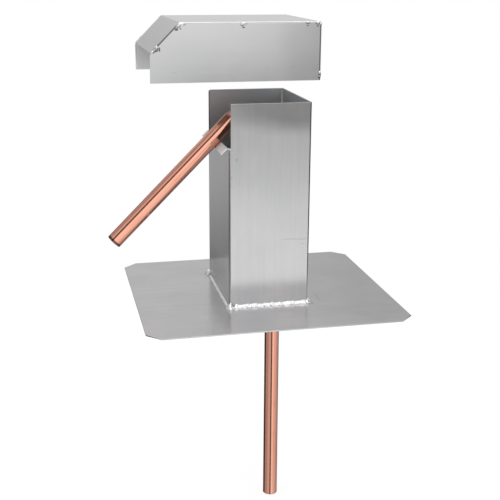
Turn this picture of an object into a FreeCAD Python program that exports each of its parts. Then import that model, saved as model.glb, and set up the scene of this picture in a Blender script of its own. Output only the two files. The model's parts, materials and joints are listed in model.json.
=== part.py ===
import FreeCAD, Part
import math
import os

# Roof vent pipe housing: a flange plate, a folded tower welded on it, a hooded cover that is
# shown lifted off, and one bent copper tube that rises in the tower and leaves over its sill.
# Millimetres. The origin is the middle of the tower's footprint on the underside of the flange.
# +Z is up, +X runs along the front panel to the cover's closed end, and the front faces -Y.

# Sheet
sheet = 2.0                 # thickness of every aluminium panel
bend_inside = 1.5           # inside radius of every fold
joint_gap = 0.2             # room between sheet edges that are welded together

# Tower, outside sizes
tower_width = 152.4
tower_depth = 209.5
tower_height = 381.0        # rim above the top of the flange
seam_gap = 0.5              # between the right panel's edge and the back panel
jamb = 5.0                  # strip of left panel left standing beside the back panel
rim_round = 5.0             # rounded top corner above the jamb

# Exit sill: the short left panel is folded outwards and down as a rest for the tube
sill_height = 302.0         # crest of the fold above the top of the flange
rest_length = 14.0          # flat part of the folded rest
rest_angle = 45.0           # fall of the rest below level
rest_relief = 1.0           # slot at each end of the fold

# Flange
flange_width = 489.0
flange_depth = 444.5
flange_shift = 12.0         # flange centre in front of the tower centre
flange_corner = 25.4        # leg of each clipped corner
hole_ledge = 1.5            # flange left inside the tower's inner faces
hole_corner = 6.0           # corner radius of the hole under the tower

# Welds
base_bead = 6.0             # leg of the fillet round the tower's foot
seam_bead = 4.0             # leg of the fillet inside the seam corner
seam_end = 3.0              # its upper end below the rim
bead_crown = 0.9            # how far a fillet bulges past its flat face
rest_dab = 3.0              # radius of the dab in the notch between rest and front panel
tack_radius = 5.0           # footprint of each small dome on the cover's joints
tack_height = 2.4
slope_tacks = (0.15, 0.95)  # places of the domes along the hood's slope, as shares of its run
top_tacks = (0.45, 0.90, 0.97)     # and along the top

# Cover
cover_height = 101.6
cover_slope = 50.8          # run and fall of the hood's 45 degree panel
cover_side_gap = 11.6       # between the tower and the cover's side panels
cover_end_gap = 7.6         # between the tower and the cover's end panel
hood_reach = 139.0          # hood past the tower's open side
cover_lift = 139.7          # height that the cover is raised off the rim

# Tube
tube_diameter = 28.6
tube_wall = 1.27
tube_bend = 30.0            # centre-line radius of both bends
riser_x = 24.0              # riser's axis, to the right of the tower's centre
tube_forward = 34.0         # tube's plane in front of the tower's centre
crest_height = 348.0        # axis of the level run above the top of the flange
drop_length = 439.5         # tube below the top of the flange
outlet_length = 321.0       # from the corner of the outlet bend to the open end
seat_gap = 0.2              # between the tube and the folded rest

# Levels and faces that several pieces share
half_width = tower_width / 2
half_depth = tower_depth / 2
deck = sheet
rim = deck + tower_height
fold_outside = bend_inside + sheet
sill = deck + sill_height
fold_level = sill - fold_outside
rest_slope = math.radians(rest_angle)
rest_front = -half_depth + fold_outside + rest_relief
rest_back = half_depth - jamb - rest_relief

cover_bottom = rim + sheet + cover_lift - cover_height
cover_top_level = cover_bottom + cover_height
cover_left = -half_width - hood_reach
cover_right = half_width + cover_end_gap + sheet
cover_half_depth = half_depth + cover_side_gap + sheet

tube_radius = tube_diameter / 2
tube_y = -tube_forward
crest = deck + crest_height

touching = 1e-6             # closer points than this are one point


def plan(x, y, z=0.0):
    return FreeCAD.Vector(x, y, z)


def side(x, z, y=0.0):
    return FreeCAD.Vector(x, y, z)


UP = FreeCAD.Vector(0, 0, 1)
TO_FRONT = FreeCAD.Vector(0, -1, 0)
TO_BACK = FreeCAD.Vector(0, 1, 0)
TO_LEFT = FreeCAD.Vector(-1, 0, 0)


def unit(vector):
    return FreeCAD.Vector(vector).normalize()


def shifted(corners, normal, distance):
    # The same open outline, moved to the left of its direction of travel
    moved = []
    for i, corner in enumerate(corners):
        before = unit(corner - corners[i - 1]) if i > 0 else unit(corners[1] - corner)
        after = unit(corners[i + 1] - corner) if i < len(corners) - 1 else before
        left_before = normal.cross(before)
        left_after = normal.cross(after)
        mitre = (left_before + left_after) * (1 / (1 + left_before.dot(left_after)))
        moved.append(corner + mitre * distance)
    return moved


def rounded(corners, radius):
    # Edges of an open outline with each corner between its ends rounded
    edges = []
    start = corners[0]
    for before, corner, after in zip(corners, corners[1:], corners[2:]):
        inward = unit(before - corner)
        outward = unit(after - corner)
        half_angle = inward.getAngle(outward) / 2
        tangent = radius / math.tan(half_angle)
        first = corner + inward * tangent
        last = corner + outward * tangent
        bisector = unit(inward + outward)
        middle = corner + bisector * (radius / math.sin(half_angle) - radius)
        if first.distanceToPoint(start) > touching:
            edges.append(Part.makeLine(start, first))
        edges.append(Part.Arc(first, middle, last).toShape())
        start = last
    edges.append(Part.makeLine(start, corners[-1]))
    return edges


def sheet_profile(corners, normal):
    # Section of a folded sheet from the convex side of its folds
    outer = rounded(corners, fold_outside)
    inner_corners = shifted(corners, normal, sheet)
    inner = rounded(inner_corners, bend_inside)
    caps = [Part.makeLine(corners[0], inner_corners[0]), Part.makeLine(corners[-1], inner_corners[-1])]
    return Part.Face(Part.Wire(Part.__sortEdges__(outer + inner + caps)))


def rounded_plate(half_x, half_y, radius, bottom, top):
    corners = [
        plan(0, -half_y, bottom),
        plan(half_x, -half_y, bottom),
        plan(half_x, half_y, bottom),
        plan(-half_x, half_y, bottom),
        plan(-half_x, -half_y, bottom),
        plan(0, -half_y, bottom),
    ]
    outline = Part.Wire(rounded(corners, radius))
    return Part.Face(outline).extrude(UP * (top - bottom))


def block(x_low, x_high, y_low, y_high, z_low, z_high):
    corner = FreeCAD.Vector(x_low, y_low, z_low)
    return Part.makeBox(x_high - x_low, y_high - y_low, z_high - z_low, corner)


def flange_plate():
    right = flange_width / 2
    back = flange_depth / 2
    clip = flange_corner
    outline = [
        plan(right - clip, back - flange_shift),
        plan(right, back - flange_shift - clip),
        plan(right, clip - back - flange_shift),
        plan(right - clip, -back - flange_shift),
        plan(clip - right, -back - flange_shift),
        plan(-right, clip - back - flange_shift),
        plan(-right, back - flange_shift - clip),
        plan(clip - right, back - flange_shift),
    ]
    plate = Part.Face(Part.makePolygon(outline + outline[:1])).extrude(UP * sheet)
    inset = sheet + hole_ledge
    hole = rounded_plate(half_width - inset, half_depth - inset, hole_corner, 0, deck)
    return plate.cut(hole)


def tower_rest():
    # The fold runs from the left panel's top over the sill and down its outside
    inner_face = sheet - half_width
    apex = fold_level + fold_outside * math.tan((math.pi / 2 + rest_slope) / 2)
    reach = rest_length + apex - fold_level
    corners = [
        side(inner_face, fold_level),
        side(inner_face, apex),
        side(inner_face - reach * math.cos(rest_slope), apex - reach * math.sin(rest_slope)),
    ]
    profile = sheet_profile(corners, TO_FRONT)
    profile.translate(TO_BACK * rest_front)
    return profile.extrude(TO_BACK * (rest_back - rest_front))


def tower():
    # One sheet, walked round from the back right corner, where its ends meet
    corners = [
        plan(half_width, half_depth, deck),
        plan(-half_width, half_depth, deck),
        plan(-half_width, -half_depth, deck),
        plan(half_width, -half_depth, deck),
        plan(half_width, half_depth - sheet - seam_gap, deck),
    ]
    walls = sheet_profile(corners, UP).extrude(UP * tower_height)

    # Above the fold the left panel is cut away, with its bend into the front panel
    opening_back = half_depth - jamb
    opening = block(-half_width - sheet, fold_outside - half_width,
                    -half_depth - sheet, opening_back, fold_level, rim + sheet)
    walls = walls.cut(opening)

    # The free corner of the rim beside the opening is filed round
    corner = block(-half_width - sheet, rim_round - half_width, opening_back - sheet,
                   half_depth + sheet, rim - rim_round, rim + sheet)
    axis_start = plan(rim_round - half_width, opening_back - sheet, rim - rim_round)
    kept = Part.makeCylinder(rim_round, jamb + 2 * sheet, axis_start, TO_BACK)
    walls = walls.cut(corner.cut(kept))

    return walls.fuse(tower_rest()).removeSplitter()


def bead_section(corner, along_wall, along_floor, leg):
    # Fillet section with a bulging face between two legs that meet in a corner
    high = corner + along_wall * leg
    low = corner + along_floor * leg
    middle = (high + low) * 0.5 + unit(along_wall + along_floor) * bead_crown
    edges = [Part.makeLine(corner, high), Part.Arc(high, middle, low).toShape(), Part.makeLine(low, corner)]
    return Part.Face(Part.Wire(edges))


def base_weld():
    # Four straight beads, closed by a turned bead round each corner of the foot
    outline = [
        plan(-half_width, -half_depth, deck),
        plan(half_width, -half_depth, deck),
        plan(half_width, half_depth, deck),
        plan(-half_width, half_depth, deck),
    ]
    pieces = []
    for i, corner in enumerate(outline):
        after = outline[(i + 1) % len(outline)]
        along = unit(after - corner)
        outward = along.cross(UP)
        centre = after + (UP.cross(along) - along) * fold_outside
        start = corner + along * fold_outside
        section = bead_section(start, UP, outward, base_bead)
        pieces.append(section.extrude(after - corner - along * 2 * fold_outside))
        turned = bead_section(after - along * fold_outside, UP, outward, base_bead)
        pieces.append(turned.revolve(centre, UP, 90))
    ring = pieces[0].fuse(pieces[1:]).removeSplitter()
    seam_corner = block(0, half_width, 0, half_depth, deck, rim)
    return ring.cut(seam_corner)


def seam_weld():
    # Bead up the inside of the back right corner
    corner = plan(half_width - sheet, half_depth - sheet, deck)
    section = bead_section(corner, TO_LEFT, TO_FRONT, seam_bead)
    return section.extrude(UP * (tower_height - seam_end))


def rest_weld():
    # Dab in the notch between the rest, the bend under it and the front panel's free edge
    notch = plan(bend_inside - half_width, (rest_front + sheet - half_depth) / 2, fold_level + bend_inside)
    dab = Part.makeSphere(rest_dab, notch).cut(tower())
    return max(dab.Solids, key=lambda solid: solid.Volume)


def cover_corners():
    return [
        side(cover_left, cover_top_level - cover_slope),
        side(cover_left + cover_slope, cover_top_level),
        side(cover_right, cover_top_level),
        side(cover_right, cover_bottom),
    ]


def cover_top():
    # One strip: hood slope, top and end panel. It is walked to the right, so its sheet lies
    # to the right of the outline, which is the left when seen from behind.
    profile = sheet_profile(cover_corners(), TO_BACK)
    profile.translate(TO_FRONT * cover_half_depth)
    return profile.extrude(TO_BACK * (2 * cover_half_depth))


def cover_side(near_face):
    # Flat panel under the strip, one sheet thick from its near face backwards
    under = shifted(cover_corners(), TO_BACK, sheet + joint_gap)
    slope_start = side(cover_left, under[0].z + cover_left - under[0].x)
    bottom_right = side(under[3].x, cover_bottom)
    edge = rounded([slope_start, under[1], under[2], bottom_right], bend_inside)
    bottom_left = side(cover_left, cover_bottom)
    edge.append(Part.makeLine(bottom_right, bottom_left))
    edge.append(Part.makeLine(bottom_left, slope_start))
    panel = Part.Face(Part.Wire(edge))
    panel.translate(TO_BACK * near_face)
    return panel.extrude(TO_BACK * sheet)


def cover_front_side():
    return cover_side(-cover_half_depth)


def cover_back_side():
    return cover_side(cover_half_depth - sheet)


def tack_welds(facing):
    # Small domes across the joints between the strip and one side panel
    seam_top = cover_top_level - sheet
    seam_right = cover_right - sheet
    slope_drop = sheet / math.sqrt(2)
    slope_foot = side(cover_left + slope_drop, cover_top_level - cover_slope - slope_drop)
    slope_head = side(cover_left + cover_slope + slope_drop, seam_top)
    top_end = side(cover_right, seam_top)
    places = [slope_foot + (slope_head - slope_foot) * share for share in slope_tacks]
    places += [slope_head + (top_end - slope_head) * share for share in top_tacks]
    places.append(side(seam_right, cover_bottom + 2 * tack_radius))
    ball_radius = (tack_radius ** 2 + tack_height ** 2) / (2 * tack_height)
    cover_body = block(cover_left - tack_radius, cover_right + tack_radius, -cover_half_depth,
                       cover_half_depth, cover_bottom - tack_radius, cover_top_level + tack_radius)
    domes = []
    for place in places:
        centre = place + facing * (cover_half_depth + tack_height - ball_radius)
        domes.append(Part.makeSphere(ball_radius, centre).cut(cover_body).Solids[0])
    return Part.makeCompound(domes)


def front_tack_welds():
    return tack_welds(TO_FRONT)


def back_tack_welds():
    return tack_welds(TO_BACK)


def tube_route():
    # Riser, level run, and an outlet that falls beside the rest at its own angle
    fall = FreeCAD.Vector(-math.cos(rest_slope), 0, -math.sin(rest_slope))
    above = FreeCAD.Vector(-math.sin(rest_slope), 0, math.cos(rest_slope))
    fold_centre = side(sheet - half_width - fold_outside, fold_level, tube_y)
    over_rest = fold_centre + above * (fold_outside + seat_gap + tube_radius)
    outlet_corner = over_rest - fall * ((crest - over_rest.z) / math.sin(rest_slope))
    return [
        side(riser_x, deck - drop_length, tube_y),
        side(riser_x, crest, tube_y),
        outlet_corner,
        outlet_corner + fall * outlet_length,
    ]


def swept_rod(radius):
    # Round bar along the route: straight cylinders joined by turned bends
    route = tube_route()
    edges = rounded(route, tube_bend)
    pieces = []
    for edge in edges:
        start = edge.Vertexes[0].Point
        heading = edge.tangentAt(edge.FirstParameter)
        section = Part.Face(Part.Wire(Part.Circle(start, heading, radius).toShape()))
        if isinstance(edge.Curve, Part.Line):
            pieces.append(section.extrude(edge.Vertexes[-1].Point - start))
        else:
            turn = math.degrees(edge.LastParameter - edge.FirstParameter)
            pieces.append(section.revolve(edge.Curve.Center, edge.Curve.Axis, turn))
    return pieces[0].fuse(pieces[1:])


def copper_tube():
    return swept_rod(tube_radius).cut(swept_rod(tube_radius - tube_wall))


nodes = {
    "flange_plate": flange_plate,
    "tower": tower,
    "seam_weld": seam_weld,
    "rest_weld": rest_weld,
    "base_weld": base_weld,
    "cover_top": cover_top,
    "cover_front_side": cover_front_side,
    "cover_back_side": cover_back_side,
    "front_tack_welds": front_tack_welds,
    "back_tack_welds": back_tack_welds,
    "copper_tube": copper_tube,
}

os.makedirs("parts", exist_ok=True)
for name, make in nodes.items():
    shape = make()
    shape.exportStep(f"parts/{name}.step")
    box = shape.BoundBox
    print(f"{name}: {len(shape.Solids)} solids, valid {shape.isValid()}, {shape.Volume:.0f} mm3, "
          f"x {box.XMin:.1f} {box.XMax:.1f}, y {box.YMin:.1f} {box.YMax:.1f}, "
          f"z {box.ZMin:.1f} {box.ZMax:.1f}")
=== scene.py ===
import json
import math
import random

import bpy
from mathutils import Matrix, Vector, noise


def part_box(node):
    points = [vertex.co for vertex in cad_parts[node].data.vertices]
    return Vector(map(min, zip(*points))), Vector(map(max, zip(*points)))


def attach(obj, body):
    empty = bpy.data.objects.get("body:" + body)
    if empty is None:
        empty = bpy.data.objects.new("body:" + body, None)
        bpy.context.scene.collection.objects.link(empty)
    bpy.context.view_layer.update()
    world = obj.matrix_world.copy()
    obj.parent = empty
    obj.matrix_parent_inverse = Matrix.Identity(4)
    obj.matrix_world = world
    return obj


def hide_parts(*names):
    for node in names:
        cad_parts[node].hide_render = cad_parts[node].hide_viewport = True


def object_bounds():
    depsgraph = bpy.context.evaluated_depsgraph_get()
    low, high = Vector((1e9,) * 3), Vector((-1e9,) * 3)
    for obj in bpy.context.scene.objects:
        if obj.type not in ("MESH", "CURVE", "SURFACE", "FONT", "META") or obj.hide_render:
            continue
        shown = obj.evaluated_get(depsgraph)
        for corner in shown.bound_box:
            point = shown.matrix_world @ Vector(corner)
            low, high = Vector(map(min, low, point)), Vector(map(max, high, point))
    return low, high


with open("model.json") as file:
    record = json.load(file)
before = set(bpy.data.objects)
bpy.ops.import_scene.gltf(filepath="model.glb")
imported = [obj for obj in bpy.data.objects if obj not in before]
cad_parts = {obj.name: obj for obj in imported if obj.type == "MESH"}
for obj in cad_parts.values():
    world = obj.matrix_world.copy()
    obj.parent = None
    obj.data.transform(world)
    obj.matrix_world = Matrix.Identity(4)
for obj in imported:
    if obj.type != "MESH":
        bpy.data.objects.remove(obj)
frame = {"nodes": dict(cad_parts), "record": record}
cadBox = [list(corner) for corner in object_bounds()]
parts = frame["nodes"]
mounts = {mount["name"]: mount for mount in frame["record"]["mounts"]}
mm = 0.001
print("frame loaded with", len(parts), "pieces")


# Shader helpers: one node, one math step, one blend of two colours

def put(tree, kind, inputs=None, **options):
    node = tree.nodes.new("ShaderNode" + kind)
    for option, value in options.items():
        setattr(node, option, value)
    for key, value in (inputs or {}).items():
        if isinstance(value, bpy.types.NodeSocket):
            tree.links.new(value, node.inputs[key])
        else:
            node.inputs[key].default_value = value
    return node


def calc(tree, operation, *values):
    return put(tree, "Math", dict(enumerate(values)), operation=operation).outputs[0]


def fade(tree, value, start, end, low=0.0, high=1.0):     # low before start, high after end
    node = put(tree, "MapRange", {0: value, 1: start, 2: end, 3: low, 4: high},
               interpolation_type="SMOOTHSTEP")
    return node.outputs[0]


def mixColour(tree, share, first, second):
    node = put(tree, "Mix", {0: share, 6: first, 7: second}, data_type="RGBA")
    return node.outputs[2]


def mixNumber(tree, share, first, second):
    return put(tree, "Mix", {0: share, 2: first, 3: second}, data_type="FLOAT").outputs[0]


def within(tree, offset, half, soft):                     # one inside half, fading over soft on each side
    return fade(tree, calc(tree, "ABSOLUTE", offset), half - soft, half + soft, 1.0, 0.0)


def newFinish(name):
    finish = bpy.data.materials.new(name)
    finish.use_nodes = True
    finish.node_tree.nodes.clear()
    return finish, finish.node_tree


def endFinish(finish, tree, shader):
    out = put(tree, "OutputMaterial")
    tree.links.new(shader.outputs[0], out.inputs["Surface"])
    return finish


# Camera at the photo's place, for a picture 500 px wide

cameraShot = {
    "place": (-0.4040, -1.7571, 0.6183),
    "turn": 12.529,            # degrees to the right of straight at the front panel
    "tilt": -16.617,
    "roll": 0.295,
    "focalPixels": 956.2,
    "pictureWidth": 500.0,
    "sensorWidth": 36.0,
    "nearest": 0.05,
    "farthest": 60.0,
}


def setCamera(shot):
    turn, tilt, roll = (math.radians(shot[key]) for key in ("turn", "tilt", "roll"))
    ahead = Vector((math.sin(turn) * math.cos(tilt), math.cos(turn) * math.cos(tilt), math.sin(tilt)))
    right = Vector((math.cos(turn), -math.sin(turn), 0))
    up = right.cross(ahead)
    rolledRight = right * math.cos(roll) + up * math.sin(roll)
    rolledUp = up * math.cos(roll) - right * math.sin(roll)
    lens = bpy.data.cameras.new("photoCamera")
    lens.sensor_width = shot["sensorWidth"]
    lens.lens = shot["focalPixels"] / shot["pictureWidth"] * shot["sensorWidth"]
    lens.clip_start = shot["nearest"]
    lens.clip_end = shot["farthest"]
    camera = bpy.data.objects.new("photoCamera", lens)
    axes = Matrix((rolledRight, rolledUp, -ahead)).transposed().to_4x4()
    camera.matrix_world = Matrix.Translation(shot["place"]) @ axes
    bpy.context.scene.collection.objects.link(camera)
    bpy.context.scene.camera = camera


setCamera(cameraShot)
bpy.context.scene.view_settings.view_transform = "Standard"
print("camera set")


# Studio: a white room. The metal mirrors its walls, its grey flats and its bright boxes.

studio = {
    "roomLight": 0.72,         # what falls on matt things
    "walls": 0.62,             # what the metal mirrors between the panels
    "panels": [                # degrees; azimuth 0 is straight before the front panel, and grows to its right
        # the ceiling, and what stands behind the tower
        {"azimuth": 180, "elevation": 62, "width": 359, "height": 80, "soft": 6, "light": 0.74},
        {"azimuth": 161, "elevation": -35, "width": 118, "height": 44, "soft": 7, "light": 0.21},
        {"azimuth": 205, "elevation": 5, "width": 36, "height": 32, "soft": 3, "light": 0.34},
        {"azimuth": 204, "elevation": 30, "width": 28, "height": 14, "soft": 3, "light": 1.6},
        # the right-hand side, then the floor from the front round to the right
        {"azimuth": 95, "elevation": -4, "width": 110, "height": 30, "soft": 6, "light": 0.12},
        {"azimuth": 25, "elevation": -40.5, "width": 66, "height": 59, "soft": 3, "light": 1.02},
        {"azimuth": 50, "elevation": -26, "width": 44, "height": 12, "soft": 3, "light": 0.74},
        {"azimuth": 92, "elevation": -26, "width": 40, "height": 14, "soft": 3, "light": 0.50},
        {"azimuth": 47, "elevation": -42, "width": 22, "height": 16, "soft": 4, "light": 0.60},
        {"azimuth": 85, "elevation": -47, "width": 72, "height": 24, "soft": 4, "light": 0.10},
        # the floor on the left
        {"azimuth": -90, "elevation": -27, "width": 60, "height": 30, "soft": 5, "light": 0.42},
        {"azimuth": -45, "elevation": -27, "width": 34, "height": 30, "soft": 4, "light": 0.62},
        {"azimuth": -137, "elevation": -27, "width": 50, "height": 30, "soft": 5, "light": 0.05},
        # bright boxes before the front panel
        {"azimuth": 12, "elevation": 42, "width": 90, "height": 28, "soft": 5, "light": 1.15},
        {"azimuth": -12, "elevation": 10.5, "width": 56, "height": 36, "soft": 4, "light": 1.12},
        {"azimuth": 13, "elevation": 19, "width": 18, "height": 10, "soft": 4, "light": 0.84},
        # low in front, and long dark flats on both sides
        {"azimuth": -13, "elevation": -8.5, "width": 34, "height": 10, "soft": 3, "light": 1.1},
        {"azimuth": 25, "elevation": -8.5, "width": 36, "height": 4, "soft": 2, "light": 0.12},
        {"azimuth": 35, "elevation": -4, "width": 34, "height": 12, "soft": 5, "light": 0.34},
        {"azimuth": 97, "elevation": -13, "width": 140, "height": 11, "soft": 2, "light": 0.05},
        {"azimuth": -75, "elevation": -13.5, "width": 130, "height": 9, "soft": 2, "light": 0.07},
        # high on the left
        {"azimuth": -112, "elevation": 38, "width": 66, "height": 30, "soft": 4, "light": 0.42},
        {"azimuth": -68, "elevation": 36, "width": 32, "height": 30, "soft": 4, "light": 0.70},
        # narrow ones behind
        {"azimuth": -156, "elevation": 14, "width": 14, "height": 18, "soft": 3, "light": 0.1},
        {"azimuth": 165, "elevation": -14, "width": 26, "height": 22, "soft": 3, "light": 0.06},
        {"azimuth": 158, "elevation": 18, "width": 10, "height": 16, "soft": 5, "light": 0.50},
        {"azimuth": 166, "elevation": 3, "width": 24, "height": 9, "soft": 3, "light": 0.75},
        # dark flats that draw the lines along the tube; the first moves over by its lean for each degree up
        {"azimuth": -38.5, "elevation": 25, "width": 31, "height": 30, "soft": 2.5, "light": 0.12,
         "lean": 0.7},
        {"azimuth": -11.5, "elevation": -25, "width": 21, "height": 20, "soft": 2, "light": 0.10},
    ],
}


def buildRoom(room):
    world = bpy.data.worlds.new("studioRoom")
    bpy.context.scene.world = world
    world.use_nodes = True
    tree = world.node_tree
    tree.nodes.clear()
    toward = put(tree, "TexCoord").outputs["Generated"]
    split = put(tree, "SeparateXYZ", {0: toward}).outputs
    elevation = calc(tree, "DEGREES", calc(tree, "ARCSINE", split[2]))
    azimuth = calc(tree, "DEGREES", calc(tree, "ARCTAN2", split[0], calc(tree, "MULTIPLY", split[1], -1.0)))
    level = room["walls"]
    for panel in room["panels"]:
        above = calc(tree, "SUBTRACT", elevation, panel["elevation"])
        centre = calc(tree, "MULTIPLY_ADD", above, panel.get("lean", 0.0), panel["azimuth"])
        beside = calc(tree, "WRAP", calc(tree, "SUBTRACT", azimuth, centre), 180.0, -180.0)
        across = within(tree, beside, panel["width"] / 2, panel["soft"])
        upright = within(tree, above, panel["height"] / 2, panel["soft"])
        share = calc(tree, "MULTIPLY", across, upright)
        level = mixNumber(tree, share, level, panel["light"])
    path = put(tree, "LightPath").outputs
    mirrored = calc(tree, "MAXIMUM", path["Is Glossy Ray"], path["Is Transmission Ray"])
    seen = mixNumber(tree, mirrored, room["roomLight"], level)
    seen = mixNumber(tree, path["Is Camera Ray"], seen, 1.0)
    light = put(tree, "Background", {"Color": (1, 1, 1, 1), "Strength": seen})
    out = put(tree, "OutputWorld")
    tree.links.new(light.outputs[0], out.inputs["Surface"])


buildRoom(studio)

lamps = {
    "overheadBox": {"place": (0.1, -0.8, 2.3), "aim": (0, 0, 0.1), "size": (1.5, 1.7), "light": 1.6},
}


def hangLamps(lampList):
    for name, lamp in lampList.items():
        light = bpy.data.lights.new(name, "AREA")
        light.shape = "RECTANGLE"
        light.size, light.size_y = lamp["size"]
        light.energy = lamp["light"] * math.pi * light.size * light.size_y     # evenly bright face
        piece = bpy.data.objects.new(name, light)
        aim = Vector(lamp["aim"]) - Vector(lamp["place"])
        piece.rotation_mode = "QUATERNION"
        piece.rotation_quaternion = aim.to_track_quat("-Z", "Y")
        piece.location = lamp["place"]
        bpy.context.scene.collection.objects.link(piece)


hangLamps(lamps)

floorSheet = {
    "below": 0.5 * mm,         # under the tube's lower end
    "radius": 1.6,
    "clearTo": 0.9,            # fades from here to the rim
    "matt": 0.25,              # share that takes the shadow
    "fill": 0.60,              # light on it when nothing shades it
    "bounce": 0.8,             # its tone for the light that it throws back
    "sides": 96,
}


def layFloor(sheet):
    z = cadBox[0][2] - sheet["below"]
    ring = [(sheet["radius"] * math.cos(2 * math.pi * i / sheet["sides"]),
             sheet["radius"] * math.sin(2 * math.pi * i / sheet["sides"]), z) for i in range(sheet["sides"])]
    mesh = bpy.data.meshes.new("studioFloor")
    mesh.from_pydata(ring, [], [list(range(sheet["sides"]))])
    finish, tree = newFinish("paleFloor")
    place = put(tree, "TexCoord").outputs["Object"]
    away = put(tree, "VectorMath", {0: place, 1: (0, 0, -z)}, operation="ADD").outputs[0]
    radius = put(tree, "VectorMath", {0: away}, operation="LENGTH").outputs["Value"]
    matt = put(tree, "BsdfDiffuse", {"Color": (sheet["matt"],) * 3 + (1,)})
    glow = put(tree, "Emission", {"Color": (1, 1, 1, 1), "Strength": 1 - sheet["matt"] * sheet["fill"]})
    path = put(tree, "LightPath").outputs
    seen = calc(tree, "MAXIMUM", path["Is Camera Ray"],
                calc(tree, "MAXIMUM", path["Is Glossy Ray"], path["Is Transmission Ray"]))
    white = put(tree, "AddShader", {0: matt.outputs[0], 1: glow.outputs[0]})
    plain = put(tree, "BsdfDiffuse", {"Color": (sheet["bounce"],) * 3 + (1,)})
    body = put(tree, "MixShader", {0: seen, 1: plain.outputs[0], 2: white.outputs[0]})
    clear = put(tree, "BsdfTransparent")
    gone = calc(tree, "MAXIMUM", fade(tree, radius, sheet["clearTo"], sheet["radius"]),
                put(tree, "NewGeometry").outputs["Backfacing"])
    both = put(tree, "MixShader", {0: gone, 1: body.outputs[0], 2: clear.outputs[0]})
    mesh.materials.append(endFinish(finish, tree, both))
    floor = bpy.data.objects.new("studioFloor", mesh)
    bpy.context.scene.collection.objects.link(floor)
    floor.visible_glossy = False      # the metal mirrors the room's own bright floor panel instead


layFloor(floorSheet)
print("studio ready")


# Mill finish sheet

sheetLook = {
    "coolTone": (0.629, 0.632, 0.638, 1),
    "warmTone": (0.672, 0.661, 0.662, 1),
    "warmBetween": (0.36, 0.66),          # smudge noise, from all cool to all warm
    "roughness": 0.16,
    "rolledAlong": "Z",
    "streaksPerMetre": (170.0, 5.0),      # across the rolling, and along it
    "streakDepth": 0.11,
    "streakBlur": 0.02,
    "smudgesPerMetre": 11.0,
    "smudgeDepth": 0.06,
    "wavesPerMetre": 5.0,
    "waveHeight": 0.5 * mm,
    "grainPerMetre": (1400.0, 22.0),
    "grainDepth": 0.002 * mm,
    "grainStrength": 0.25,
    "innerTone": (0.640, 0.670, 0.690, 1),
    "innerRoughness": 0.42,
    # tone of the darker patches: real marks, and painted shade
    "markAndShadeTone": (0.10, 0.095, 0.09, 1),
    "markAndShadeCore": 0.45,                     # share of a mark that has its full depth
}


def insideMask(tree, split, low, high):      # one in the box between two corners, nothing outside it
    share = 1.0
    for axis in range(3):
        middle = (low[axis] + high[axis]) / 2
        half = (high[axis] - low[axis]) / 2
        away = calc(tree, "ABSOLUTE", calc(tree, "SUBTRACT", split[axis], middle))
        share = calc(tree, "MULTIPLY", share, calc(tree, "LESS_THAN", away, half))
    return share


def millFinish(name, look):
    finish, tree = newFinish(name)
    place = put(tree, "TexCoord").outputs["Object"]
    split = put(tree, "SeparateXYZ", {0: place}).outputs
    along = {"X": 0, "Y": 1, "Z": 2}[look["rolledAlong"]]

    def stretched(across, lengthwise, detail=3.0):
        scale = [across] * 3
        scale[along] = lengthwise
        moved = put(tree, "Mapping", {"Vector": place, "Scale": scale})
        return put(tree, "TexNoise", {"Vector": moved.outputs[0], "Scale": 1.0, "Detail": detail,
                                      "Roughness": 0.6}).outputs[0]

    streaks = stretched(*look["streaksPerMetre"])
    grain = stretched(*look["grainPerMetre"], detail=2.0)
    smudges = put(tree, "TexNoise", {"Vector": place, "Scale": look["smudgesPerMetre"], "Detail": 3.0,
                                     "Roughness": 0.55, "Distortion": 0.4}).outputs[0]
    waves = put(tree, "TexNoise", {"Vector": place, "Scale": look["wavesPerMetre"], "Detail": 1.0}).outputs[0]
    tone = mixColour(tree, fade(tree, smudges, *look["warmBetween"]), look["coolTone"], look["warmTone"])
    shade = calc(tree, "MULTIPLY_ADD", calc(tree, "SUBTRACT", streaks, 0.5), look["streakDepth"], 1.0)
    tone = put(tree, "VectorMath", {0: tone, "Scale": shade}, operation="SCALE").outputs[0]
    rough = calc(tree, "MULTIPLY_ADD", calc(tree, "SUBTRACT", smudges, 0.5), look["smudgeDepth"],
                 look["roughness"])
    rough = calc(tree, "MULTIPLY_ADD", calc(tree, "SUBTRACT", streaks, 0.5), look["streakBlur"], rough)
    metallic = 1.0
    if "inside" in look:
        inner = insideMask(tree, split, *look["inside"])
        tone = mixColour(tree, inner, tone, look["innerTone"])
        rough = mixNumber(tree, inner, rough, look["innerRoughness"])
    # patches include cut edges with a painted highlight and edges with a painted shadow
    for low, high, patch in look.get("patches", ()):
        covered = insideMask(tree, split, low, high)
        tone = mixColour(tree, covered, tone, patch["tone"])
        rough = mixNumber(tree, covered, rough, patch["roughness"])
        metallic = mixNumber(tree, covered, metallic, patch["metallic"])
    # darker patches: real burns and scratches, and painted shade where less light falls
    for spot, half, depth in look.get("marksAndShade", ()):
        away = put(tree, "VectorMath", {0: place, 1: spot}, operation="SUBTRACT").outputs[0]
        away = put(tree, "VectorMath", {0: away, 1: half}, operation="DIVIDE").outputs[0]
        away = put(tree, "VectorMath", {0: away}, operation="LENGTH").outputs["Value"]
        tone = mixColour(tree, fade(tree, away, look["markAndShadeCore"], 1.0, depth, 0.0), tone, look["markAndShadeTone"])
    relief = put(tree, "Bump", {"Strength": 1.0, "Distance": look["waveHeight"], "Height": waves})
    relief = put(tree, "Bump", {"Strength": look["grainStrength"], "Distance": look["grainDepth"],
                                "Height": grain, "Normal": relief.outputs[0]})
    metal = put(tree, "BsdfPrincipled", {"Base Color": tone, "Metallic": metallic, "Roughness": rough,
                                         "Normal": relief.outputs[0]})
    return endFinish(finish, tree, metal)


brokenEdge = {
    "width": 0.45 * mm,
    "segments": 2,
    "sharpFrom": 50,           # degrees between two faces
    "joinWithin": 0.001 * mm,
    "flatWithin": 0.5,         # degrees
}


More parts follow.
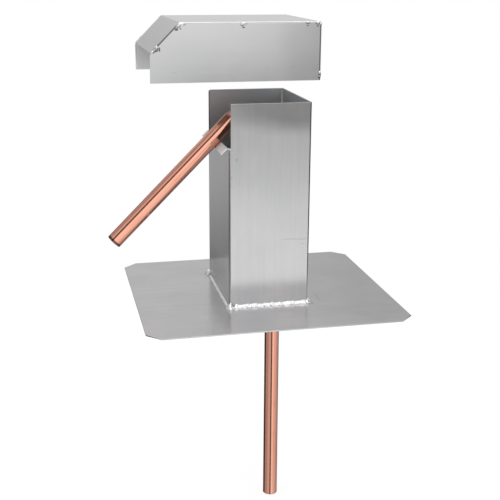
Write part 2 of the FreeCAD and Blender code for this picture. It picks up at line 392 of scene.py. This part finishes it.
def breakEdges(piece, edge):
    joined = piece.modifiers.new("joinedPoints", "WELD")
    joined.merge_threshold = edge["joinWithin"]
    plain = piece.modifiers.new("plainFaces", "DECIMATE")
    plain.decimate_type = "DISSOLVE"
    plain.angle_limit = math.radians(edge["flatWithin"])
    broken = piece.modifiers.new("brokenEdges", "BEVEL")
    broken.width = edge["width"]
    broken.segments = edge["segments"]
    broken.limit_method = "ANGLE"
    broken.angle_limit = math.radians(edge["sharpFrom"])
    broken.use_clamp_overlap = True
    evened = piece.modifiers.new("evenedShading", "WEIGHTED_NORMAL")
    evened.keep_sharp = False
    evened.weight = 100


towerLow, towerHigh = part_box("tower")
coverLow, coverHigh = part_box("cover_top")
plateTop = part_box("flange_plate")[1].z
shaftLow = Vector((-towerHigh.x, towerLow.y, plateTop))      # the tower without its folded rest
thickness = 2 * mm                                           # of the sheet
skin = 1.4 * mm                                              # from its outer face to the inner finish
hoodRun = 50.8 * mm                                          # the hood's slope is this wide and this high
inShaft = (shaftLow + Vector((skin, skin, -1)), towerHigh - Vector((skin, skin, -1)))
inCover = (coverLow + Vector((skin, skin, -1)), coverHigh - Vector((skin, skin, skin)))


def marksAndShadeOn(corner, rows):      # each row: how far from the corner and half size each way in mm, how dark
    return [(corner + Vector(offset) * mm, Vector(half) * mm, depth) for offset, half, depth in rows]


sideMarksAndShade = marksAndShadeOn(Vector((coverLow.x, coverLow.y, coverHigh.z)), [
    # painted shadows under the tacks of the front side
    ((46.2, 0, -12.2), (4.2, 3, 2.6), 0.9),
    ((53.2, 0, -10.7), (2.2, 3, 2.0), 0.75),
    ((6.7, 0, -48.2), (2.4, 3, 4.0), 0.9),
    ((16.7, 0, -44.7), (2.0, 3, 5.0), 0.9),
    ((162.2, 0, -9.2), (3.6, 3, 1.8), 0.8),
    ((276.2, 0, -7.2), (3.0, 3, 1.5), 0.7),
    ((294.2, 0, -7.7), (2.4, 3, 2.2), 0.7),
    # handling marks, and painted shade darkening the closed end
    ((41.8, 0, -84.2), (5, 3, 1.8), 0.10),
    ((204.0, 0, -76.9), (4, 3, 4), 0.05),
    ((250.8, 0, -77.7), (5, 3, 3), 0.05),
    ((299.0, 0, -54.7), (90, 3, 140), 0.09),
])
# painted shade darkening the hood's slope
paintedSlopeShade = [
    (Vector((coverLow.x + hoodRun / 2, 0, coverHigh.z - hoodRun / 2)), Vector((60, 300, 60)) * mm, 0.14),
]
plateMarksAndShade = marksAndShadeOn(Vector((towerHigh.x, towerLow.y, plateTop)), [
    # burnt spots by the bead's right corner, a faint line beside it, and painted shade darkening the right
    # side
    ((7.3, -2.75, 0), (2.4, 2.6, 2), 0.85),
    ((8.8, -8.25, 0), (1.8, 1.8, 2), 0.7),
    ((26.3, 30.75, 0), (1.8, 44, 2), 0.14),
    ((193.8, 104.75, 0), (290, 420, 60), 0.12),
])
towerMarksAndShade = marksAndShadeOn(shaftLow, [
    # a long scratch, small marks beside it and up the left edge, and painted shade darkening the foot of the
    # left wall
    ((113.2, 0, 128.1), (20, 3, 1.5), 0.15),
    ((136.2, 0, 126.8), (20, 3, 1.5), 0.15),
    ((140.7, 0, 117.8), (9, 3, 1.3), 0.09),
    ((13.8, 0, 280.9), (3.6, 3, 4.5), 0.14),
    ((4.6, 0, 248.4), (2.4, 3, 5.0), 0.12),
    ((4.6, 0, 231.8), (2.4, 3, 4.0), 0.12),
    ((0, 104.75, 0), (3, 300, 95), 0.32),
])
towerMarksAndShade += marksAndShadeOn(Vector((towerHigh.x, towerLow.y, towerHigh.z)), [
    ((-1.2, 0, 0), (220, 3, 65), 0.45),      # painted shade darkening the front below the rim
])
# a ground cut edge, its tone raised to a painted highlight
cutEdgeAndHighlight = {"tone": (0.97, 0.97, 0.97, 1), "roughness": 0.34, "metallic": 1.0}
# a painted shadow along a cut edge
paintedShadowEdge = {"tone": (0.24, 0.235, 0.235, 1), "roughness": 0.34, "metallic": 1.0}
rubbed = {"tone": (0.85, 0.85, 0.85, 1), "roughness": 0.6, "metallic": 0.15}

# Cut edges of the cover's strip: bright along the top, a ground edge with a painted highlight; dark down the
# slope and the closed end, a painted shadow
rim = 0.8 * mm                                               # depth of the band along a cut edge that takes its patch
far = Vector((1, 1, 1))
brightFrom = coverLow.x + hoodRun - 2 * mm
brightTo = coverHigh.x - 3 * mm
coverPatches = []
for front, back in ((-1, coverLow.y + rim), (coverHigh.y - rim, 1)):
    coverPatches += [
        (Vector((-1, front, -1)), Vector((brightFrom, back, 1)), paintedShadowEdge),
        (Vector((brightFrom, front, -1)), Vector((brightTo, back, 1)), cutEdgeAndHighlight),
        (Vector((brightTo, front, -1)), Vector((1, back, 1)), paintedShadowEdge),
    ]
restFrom = shaftLow.x - 1.2 * mm                             # the folded rest lies beyond this
looks = {                                                    # what each sheet changes in sheetLook
    "tower": {"roughness": 0.20, "inside": inShaft, "marksAndShade": towerMarksAndShade, "patches": [
        (Vector((-1, -1, towerHigh.z - rim)), far, cutEdgeAndHighlight),
        (-far, Vector((restFrom, 1, 1)), rubbed),
    ]},
    "flange_plate": {"rolledAlong": "X", "roughness": 0.24, "marksAndShade": plateMarksAndShade,
                     "coolTone": (0.618, 0.620, 0.631, 1), "warmTone": (0.663, 0.650, 0.650, 1)},
    "cover_top": {"rolledAlong": "X", "streakDepth": 0.06, "inside": inCover, "marksAndShade": paintedSlopeShade,
                  "patches": coverPatches, "innerTone": (0.85, 0.85, 0.85, 1)},
    "cover_front_side": {"rolledAlong": "X", "streakDepth": 0.06, "inside": inCover, "marksAndShade": sideMarksAndShade},
    "cover_back_side": {"rolledAlong": "X", "streakDepth": 0.06, "inside": inCover,
                        "innerTone": (0.80, 0.80, 0.80, 1)},
}
for name, changes in looks.items():
    look = dict(sheetLook, **changes)
    parts[name].data.materials.clear()
    parts[name].data.materials.append(millFinish(name + "_mill", look))
    breakEdges(parts[name], brokenEdge)
print("sheet finishes done")


# Welds

def meshPiece(name, points, faces, replaced, sootAndShade=None):
    mesh = bpy.data.meshes.new(name)
    mesh.from_pydata([tuple(point) for point in points], [], faces)
    mesh.validate()
    mesh.shade_smooth()
    if sootAndShade:
        sootAndShadeShare = mesh.attributes.new("sootAndShade", "FLOAT", "POINT")
        sootAndShadeShare.data.foreach_set("value", sootAndShade)
    piece = bpy.data.objects.new(name, mesh)
    bpy.context.scene.collection.objects.link(piece)
    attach(piece, "root")
    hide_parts(replaced)
    return piece


weldLook = {
    "tone": (0.95, 0.95, 0.96, 1),
    "dullTone": (0.62, 0.60, 0.58, 1),
    "dullBetween": (0.58, 0.78),
    # soot in the pits, and painted shade in the valleys, pits and lumps' undersides
    "sootAndShadeTone": (0.07, 0.065, 0.06, 1),
    "roughness": 0.36,
    "dullPerMetre": 160.0,
    "grainPerMetre": 900.0,
    "grainDepth": 0.08 * mm,
    "grainStrength": 0.6,
}


def weldFinish(look):
    finish, tree = newFinish("bright_weld_bead")
    place = put(tree, "TexCoord").outputs["Object"]
    # the darkening carries soot and painted shade
    sootAndShadeShare = put(tree, "Attribute", attribute_name="sootAndShade").outputs["Fac"]
    dull = put(tree, "TexNoise", {"Vector": place, "Scale": look["dullPerMetre"], "Detail": 3.0}).outputs[0]
    fine = put(tree, "TexNoise", {"Vector": place, "Scale": look["grainPerMetre"], "Detail": 3.0}).outputs[0]
    tone = mixColour(tree, fade(tree, dull, *look["dullBetween"]), look["tone"], look["dullTone"])
    tone = mixColour(tree, sootAndShadeShare, tone, look["sootAndShadeTone"])
    relief = put(tree, "Bump", {"Strength": look["grainStrength"], "Distance": look["grainDepth"],
                                "Height": fine})
    metal = put(tree, "BsdfPrincipled", {"Base Color": tone, "Metallic": 1.0, "Roughness": look["roughness"],
                                         "Normal": relief.outputs[0]})
    return endFinish(finish, tree, metal)


weldMetal = weldFinish(weldLook)


# A run is a list of places along a bead, each with its direction over the plate, its direction up the wall
# and its share of the full size.

def footRun(low, high, radii, step, slimLeft):      # round the tower's foot from its front left corner
    corners = [Vector((low.x, low.y)), Vector((high.x, low.y)),
               Vector((high.x, high.y)), Vector((low.x, high.y))]
    run = []
    for i, corner in enumerate(corners):
        following = corners[(i + 1) % 4]
        toBefore = (corners[i - 1] - corner).normalized()
        toNext = (following - corner).normalized()
        radius = radii[i]
        centre = corner + (toBefore + toNext) * radius
        count = max(8, round(radius * math.pi / 2 / step))      # at least eight steps round a corner
        for k in range(count + 1):
            turn = math.pi / 2 * k / count
            outward = -toNext * math.cos(turn) - toBefore * math.sin(turn)
            run.append((centre + outward * radius, outward))
        start = corner + toNext * radius
        length = (following - corner).length - radius - radii[(i + 1) % 4]
        pieces = round(length / step)
        run += [(start + toNext * length * k / pieces, -toBefore) for k in range(1, pieces)]
    return [(spot.to_3d() + Vector((0, 0, low.z)), outward.to_3d(), Vector((0, 0, 1)),
             1 - slimLeft * max(0.0, -outward.x) ** 2) for spot, outward in run]


def cornerRun(start, end, floorward, wallward, step):
    pieces = round((end - start).length / step)
    return [(start.lerp(end, k / pieces), floorward, wallward, 1.0) for k in range(pieces + 1)]


baseBead = {
    "leg": 5.6 * mm,
    "uneven": 0.16,            # share that one puddle is larger or smaller
    "pitch": 4.6 * mm,         # from one puddle to the next
    "pitchSpread": (0.65, 1.35),
    "half": 4.4 * mm,          # half length of a puddle
    "halfSpread": (0.85, 1.2),
    "toe": (0.92, 1.22),       # how far a puddle runs out over the plate
    "swellToe": 1.1,
    "lag": 0.55,               # how far its middle stays behind its edges
    "flat": 0.17,              # share that its face is flatter than round
    "thin": 0.42,              # least size between two puddles
    "knobs": ((2.2 * mm, 0.06), (0.9 * mm, 0.03)),      # size and height of the small lumps on its face
    "pitDepth": 0.35,
    # darkening of a pit: soot, and painted shade in the hollow
    "pitSootAndShade": 1.3,
    # least darkening all over the bead
    "darkAllOver": 0.0,
    "valleyShadeBelow": 0.62,        # thinner than this share, it takes painted shade, as in the valleys between puddles
    "valleyShadeGain": 2.2,
    "slices": 14,
    "seed": 11,
}


def placePuddles(bead, run, lengths, total, swells):      # length along the run, leg, half length and toe
    chance = random.Random(bead["seed"])
    puddles = []
    at = 0.0
    while at < total:
        leg = bead["leg"] * chance.uniform(1 - bead["uneven"], 1 + bead["uneven"])
        half = bead["half"] * chance.uniform(*bead["halfSpread"])
        puddles.append((at, leg, half, chance.uniform(*bead["toe"])))
        at += bead["pitch"] * chance.uniform(*bead["pitchSpread"])
    for spot, leg, half in swells:
        nearest = min(range(len(run)), key=lambda i: (run[i][0] - Vector(spot)).length)
        puddles.append((lengths[nearest], leg / run[nearest][3], half, bead["swellToe"]))
    return puddles


def layPuddles(name, bead, run, closed, replaced, swells=(), pits=()):
    lengths = [0.0]
    for first, second in zip(run, run[1:]):
        lengths.append(lengths[-1] + (second[0] - first[0]).length)
    total = lengths[-1] + ((run[0][0] - run[-1][0]).length if closed else 0.0)
    puddles = placePuddles(bead, run, lengths, total, swells)
    points, faces, sootAndShade = [], [], []
    slices = bead["slices"]
    for (spot, floorward, wallward, size), travelled in zip(run, lengths):
        near = []
        for at, leg, half, toe in puddles:
            away = travelled - at
            if closed:
                away = (away + total / 2) % total - total / 2
            if abs(away) < half * (1 + bead["lag"]):
                near.append((away, leg, half, toe))
        for k in range(slices + 1):
            angle = math.pi / 2 * k / slices
            belly = math.sin(2 * angle)
            best = bead["thin"] * bead["leg"]
            for away, leg, half, toe in near:
                along = away / half + bead["lag"] * (belly - 0.5)
                if abs(along) < 1:
                    reach = leg * (1 + (toe - 1) * math.cos(angle) ** 2)
                    best = max(best, reach * math.sqrt(1 - along * along))
            outward = floorward * math.cos(angle) + wallward * math.sin(angle)
            point = spot + outward * best * size * (1 - bead["flat"] * belly)
            sootAndShadeShare = 0.0
            for place, reach in pits:
                sootAndShadeShare = max(sootAndShadeShare, math.exp(-((point - Vector(place)).length / reach) ** 2))
            knobs = sum(noise.noise(point / length) * height for length, height in bead["knobs"])
            point = spot + (point - spot) * (1 + knobs) * (1 - bead["pitDepth"] * sootAndShadeShare)
            # painted shade in the thin valleys between puddles
            valley = (bead["valleyShadeBelow"] - best / bead["leg"]) * bead["valleyShadeGain"]
            points.append(point)
            sootAndShade.append(min(1.0, max(bead["darkAllOver"], valley, bead["pitSootAndShade"] * sootAndShadeShare)))
        points.append(spot.copy())
        sootAndShade.append(1.0)
    ring = slices + 2
    rows = len(run)
    for i in range(rows if closed else rows - 1):
        j = (i + 1) % rows
        for k in range(ring):
            m = (k + 1) % ring
            faces.append((i * ring + k, j * ring + k, j * ring + m, i * ring + m))
    if not closed:
        faces.append(tuple(range(ring)))
        faces.append(tuple(reversed(range((rows - 1) * ring, rows * ring))))
    piece = meshPiece(name, points, faces, replaced, sootAndShade)
    piece.data.materials.append(weldMetal)


foldRadius = 3.5 * mm
seamRadius = 0.4 * mm          # the seam's corner is nearly sharp
baseStep = 0.5 * mm
slimLeft = 0.45                # the bead is slimmer by this share under the left wall
baseRun = footRun(shaftLow, towerHigh, (foldRadius, foldRadius, seamRadius, foldRadius), baseStep, slimLeft)
baseSwells = [                 # place, leg and half length of each larger puddle
    ((shaftLow.x, shaftLow.y, plateTop), 8.2 * mm, 6.5 * mm),
    ((shaftLow.x + 12 * mm, shaftLow.y, plateTop), 6.6 * mm, 7 * mm),
    ((towerHigh.x, shaftLow.y, plateTop), 7.4 * mm, 5.5 * mm),
    ((towerHigh.x - 9 * mm, shaftLow.y, plateTop), 6.8 * mm, 6 * mm),
    ((towerHigh.x, shaftLow.y + 4.5 * mm, plateTop), 8.0 * mm, 3.6 * mm),
    ((shaftLow.x, towerHigh.y - 3 * mm, plateTop), 9.6 * mm, 4.6 * mm),
    ((shaftLow.x + 3 * mm, towerHigh.y, plateTop), 7.0 * mm, 5 * mm),
]
basePits = [                   # place and reach of each pit, darkened with soot and painted shade
    ((shaftLow.x - 4.5 * mm, shaftLow.y + 4.5 * mm, plateTop + 3 * mm), 2.4 * mm),
    ((shaftLow.x + 8.5 * mm, shaftLow.y - 2.0 * mm, plateTop + 4.5 * mm), 2.4 * mm),
    ((shaftLow.x - 8.0 * mm, towerHigh.y - 2.0 * mm, plateTop + 1 * mm), 2.6 * mm),
    ((shaftLow.x - 2.5 * mm, towerHigh.y - 9.0 * mm, plateTop + 3 * mm), 2.6 * mm),
    ((towerHigh.x + 2.5 * mm, shaftLow.y - 3.0 * mm, plateTop + 3.5 * mm), 1.8 * mm),
    ((towerHigh.x + 7.0 * mm, shaftLow.y + 2.5 * mm, plateTop + 1.5 * mm), 2.2 * mm),
]
layPuddles("base_weld_bead", baseBead, baseRun, True, "base_weld", baseSwells, basePits)

seamBead = dict(baseBead, leg=2.6 * mm, half=3.4 * mm, pitch=3.0 * mm, uneven=0.08, darkAllOver=0.35, seed=5)
seamStep = 0.8 * mm
seamTop = towerHigh.z - 3 * mm
innerCorner = towerHigh - Vector((thickness, thickness, 0))
seamRun = cornerRun(Vector((*innerCorner.xy, plateTop)), Vector((*innerCorner.xy, seamTop)),
                    Vector((-1, 0, 0)), Vector((0, -1, 0)), seamStep)
layPuddles("seam_weld_bead", seamBead, seamRun, False, "seam_weld")


lumpShape = {
    "rings": 14,
    "around": 26,
    "lumpy": 0.16,
    "coarse": 1.6,             # lumps over its length
    "fine": 4.2,
    "fineShare": 0.4,
    "apart": (3.1, 2.3),       # steps through the noise from one lump to the next
    # painted shade on the underside of each lump
    "darkBelow": 1.4,
}


def dropLumps(name, lumps, replaced, shape, seed):
    points, faces, sootAndShade = [], [], []
    rings, around = shape["rings"], shape["around"]
    for n, (centre, half, lean, sootAndShadeShare) in enumerate(lumps):
        coarseStart = Vector((seed, n * shape["apart"][0], 0))
        fineStart = Vector((0, seed, n * shape["apart"][1]))
        turned = Matrix.Rotation(math.radians(lean), 3, "Y")
        first = len(points)
        for i in range(rings + 1):
            polar = math.pi * i / rings
            for k in range(around if 0 < i < rings else 1):
                angle = 2 * math.pi * k / around
                across = math.sin(polar)
                way = Vector((across * math.cos(angle), math.cos(polar), across * math.sin(angle)))
                coarse = noise.noise(way * shape["coarse"] + coarseStart)
                fine = noise.noise(way * shape["fine"] + fineStart)
                swell = 1 + shape["lumpy"] * (coarse + shape["fineShare"] * fine)
                points.append(centre + turned @ Vector([way[a] * half[a] * swell for a in range(3)]))
                # painted shade on the lump's underside
                sootAndShade.append(min(1.0, max(0.0, sootAndShadeShare * (1 - shape["darkBelow"] * way.z))))
        ring = [[first]] + [[first + 1 + i * around + k for k in range(around)] for i in range(rings - 1)]
        ring.append([len(points) - 1])
        for upper, lower in zip(ring, ring[1:]):
            for k in range(around):
                m = (k + 1) % around
                if len(upper) == 1:
                    faces.append((upper[0], lower[m], lower[k]))
                elif len(lower) == 1:
                    faces.append((upper[k], upper[m], lower[0]))
                else:
                    faces.append((upper[k], upper[m], lower[m], lower[k]))
    piece = meshPiece(name, points, faces, replaced, sootAndShade)
    piece.data.materials.append(weldMetal)


# Lumps of the cover's tacks, from the hood's upper corner: x, z, half length, how far each stands out and
# half height in mm, lean in degrees, share of painted shade on its underside
tackLumps = [
    (55.0, -3.1, 7.0, 1.9, 3.2, 3, 0.1),
    (49.6, -6.3, 4.6, 2.0, 3.2, -32, 0.25),
    (46.6, -9.3, 2.6, 1.4, 1.8, -45, 0.5),
    (11.6, -43.8, 3.3, 2.1, 5.2, 8, 0.45),
    (8.8, -46.3, 2.8, 1.5, 2.4, -45, 0.6),
    (3.9, -49.3, 4.2, 1.4, 1.8, -40, 0.2),
    (162.8, -2.8, 5.6, 1.8, 2.6, 3, 0.1),
    (159.7, -4.8, 3.0, 1.9, 2.4, -10, 0.4),
    (276.1, -2.1, 4.0, 1.7, 2.2, 0, 0.35),
    (294.2, -2.5, 3.8, 1.9, 2.8, 6, 0.35),
    (299.2, -4.7, 2.2, 1.5, 3.0, 0, 0.3),
    (299.4, -90.3, 2.4, 1.8, 5.2, 0, 0.55),
    (299.0, -95.1, 2.6, 1.5, 2.4, 0, 0.7),
]
tackLift = 0.2 * mm            # middle of a lump off the side's face
for side, level, name in ((-1, coverLow.y, "front_tack_welds"), (1, coverHigh.y, "back_tack_welds")):
    corner = Vector((coverLow.x, level + side * tackLift, coverHigh.z))
    lumps = [(corner + Vector((x, 0, z)) * mm, Vector((half, out, high)) * mm, lean, sootAndShadeShare)
             for x, z, half, out, high, lean, sootAndShadeShare in tackLumps]
    dropLumps(name.replace("welds", "lumps"), lumps, name, lumpShape, 3.0 + side)

restCorner = Vector((shaftLow.x, shaftLow.y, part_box("rest_weld")[1].z))
restLumps = [                  # centre, half size each way, lean in degrees, share of painted shade on its underside
    (restCorner + Vector((1.5, 3.15, -3.2)) * mm, Vector((3.0, 2.6, 2.6)) * mm, 0, 0.1),
    (restCorner + Vector((2.6, 1.15, -3.4)) * mm, Vector((2.4, 2.0, 2.0)) * mm, 20, 0.2),
]
dropLumps("rest_weld_lump", restLumps, "rest_weld", lumpShape, 7.0)
print("welds laid")


# Copper tube

tubeSize = {
    "outside": mounts["drop_end"]["dims"]["r_mm"] * mm,       # radii
    "inside": mounts["drop_bore"]["dims"]["r_mm"] * mm,
    "bend": 30 * mm,
    "around": 96,
    "bendSteps": 40,
    "lip": 0.35 * mm,
}


def tubeRoute(size):
    foot = Vector(mounts["drop_end"]["pos_m"])
    end = Vector(mounts["outlet_bore"]["pos_m"])
    slope = Vector(mounts["outlet_bore"]["axis"])
    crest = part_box("copper_tube")[1].z - size["outside"]
    corner = Vector((foot.x, foot.y, crest))
    over = end - slope * ((crest - end.z) / -slope.z)
    route = [foot]
    for before, at, after in ((foot, corner, over), (corner, over, end)):
        coming = (at - before).normalized()
        leaving = (after - at).normalized()
        turn = coming.angle(leaving)
        axis = coming.cross(leaving).normalized()
        start = at - coming * size["bend"] * math.tan(turn / 2)
        centre = start + axis.cross(coming) * size["bend"]
        for k in range(size["bendSteps"] + 1):
            route.append(centre + Matrix.Rotation(turn * k / size["bendSteps"], 3, axis) @ (start - centre))
    route.append(end)
    return route


def drawTube(size):
    route = tubeRoute(size)
    count = size["around"]
    side = Vector((0, 1, 0))
    points, faces, rings = [], [], []

    def addRing(centre, ahead, radius):
        other = ahead.cross(side).normalized()
        rings.append(len(points))
        for k in range(count):
            angle = 2 * math.pi * k / count
            points.append(centre + (side * math.cos(angle) + other * math.sin(angle)) * radius)

    directions = []
    for i, spot in enumerate(route):
        before = route[max(i - 1, 0)]
        after = route[min(i + 1, len(route) - 1)]
        if 0 < i < len(route) - 1:
            directions.append(((spot - before).normalized() + (after - spot).normalized()).normalized())
        else:
            directions.append((after - before).normalized())
    outside, inside, lip = size["outside"], size["inside"], size["lip"]
    # The outer skin from foot to outlet, then the bore back. The second ring behind each lip keeps the lip's
    # rounding out of the run.
    outerLip = ((0, outside - lip), (lip, outside), (2 * lip, outside))
    innerLip = ((0, inside + lip), (lip, inside), (2 * lip, inside))
    for back, radius in outerLip:
        addRing(route[0] + directions[0] * back, directions[0], radius)
    for spot, ahead in zip(route[1:-1], directions[1:-1]):
        addRing(spot, ahead, outside)
    for back, radius in reversed(outerLip):
        addRing(route[-1] - directions[-1] * back, directions[-1], radius)
    skinRings = len(rings)
    for back, radius in innerLip:
        addRing(route[-1] - directions[-1] * back, directions[-1], radius)
    for spot, ahead in zip(route[-2:0:-1], directions[-2:0:-1]):
        addRing(spot, ahead, inside)
    for back, radius in reversed(innerLip):
        addRing(route[0] + directions[0] * back, directions[0], radius)
    along = [0.0]
    for a, b in zip(rings, rings[1:]):
        along.append(along[-1] + (points[b] - points[a]).length)
    skinLength = along[skinRings - 1]
    wraps = []
    for i, a in enumerate(rings):
        b = rings[(i + 1) % len(rings)]
        for k in range(count):
            n = (k + 1) % count
            faces.append((a + k, a + n, b + n, b + k))
            low, high = along[i], along[(i + 1) % len(rings)]
            wraps += [(k / count, low), ((k + 1) / count, low), ((k + 1) / count, high), (k / count, high)]
    piece = meshPiece("copper_tube_drawn", points, faces, "copper_tube")
    layer = piece.data.uv_layers.new(name="roundAndAlong")      # round it, and metres along it
    for loop, wrap in zip(layer.data, wraps):
        loop.uv = wrap
    return piece, skinLength


copperLook = {
    "lightTone": (0.95, 0.475, 0.355, 1),
    "darkTone": (0.90, 0.41, 0.29, 1),
    "darkBetween": (0.3, 0.7),
    "handledTone": (0.80, 0.33, 0.22, 1),
    "handledBetween": (0.5, 0.8),
    "handledShare": 0.5,
    "endShadeTone": (0.20, 0.095, 0.07, 1),
    "boreTone": (0.50, 0.22, 0.15, 1),
    "endLength": 5.2 * mm,     # painted shade from the outlet's cut, inside and out, for its dark opening
    "endFade": 0.8 * mm,
    "footLength": 0.8 * mm,
    # painted shade at the foot's cut end
    "footShade": 0.8,
    "lines": (14.0, 3.0),      # round the tube, and along it
    "clouds": (1.5, 30.0),
    "lineBlur": 0.04,
    "roughness": 0.085,
    "lineHeight": 0.02 * mm,
    "lineStrength": 0.12,
}


def copperFinish(look, skinLength):
    finish, tree = newFinish("drawn_copper")
    wrap = put(tree, "SeparateXYZ", {0: put(tree, "TexCoord").outputs["UV"]}).outputs
    turn = calc(tree, "MULTIPLY", wrap[0], 2 * math.pi)

    def lengthwise(around, lengthways):      # noise round the tube, drawn out along it
        ring = put(tree, "CombineXYZ", {0: calc(tree, "MULTIPLY", calc(tree, "COSINE", turn), around),
                                        1: calc(tree, "MULTIPLY", calc(tree, "SINE", turn), around),
                                        2: calc(tree, "MULTIPLY", wrap[1], lengthways)})
        return put(tree, "TexNoise", {"Vector": ring.outputs[0], "Scale": 1.0, "Detail": 3.0}).outputs[0]

    lines = lengthwise(*look["lines"])
    clouds = lengthwise(*look["clouds"])
    tone = mixColour(tree, fade(tree, lines, *look["darkBetween"]), look["lightTone"], look["darkTone"])
    handled = fade(tree, clouds, *look["handledBetween"], 0.0, look["handledShare"])
    tone = mixColour(tree, handled, tone, look["handledTone"])
    rough = calc(tree, "MULTIPLY_ADD", lines, look["lineBlur"], look["roughness"])
    beyond = calc(tree, "SUBTRACT", wrap[1], skinLength)
    tone = mixColour(tree, calc(tree, "GREATER_THAN", beyond, 0.0), tone, look["boreTone"])
    # painted shade at both cut ends
    tone = mixColour(tree, within(tree, beyond, look["endLength"], look["endFade"]), tone, look["endShadeTone"])
    foot = fade(tree, wrap[1], look["footLength"], 2 * look["footLength"], look["footShade"], 0.0)
    tone = mixColour(tree, foot, tone, look["endShadeTone"])
    relief = put(tree, "Bump", {"Strength": look["lineStrength"], "Distance": look["lineHeight"],
                                "Height": lines})
    metal = put(tree, "BsdfPrincipled", {"Base Color": tone, "Metallic": 1.0, "Roughness": rough,
                                         "Normal": relief.outputs[0]})
    return endFinish(finish, tree, metal)


tube, skinLength = drawTube(tubeSize)
tube.data.materials.append(copperFinish(copperLook, skinLength))
print("tube drawn,", round(skinLength, 3), "m long")
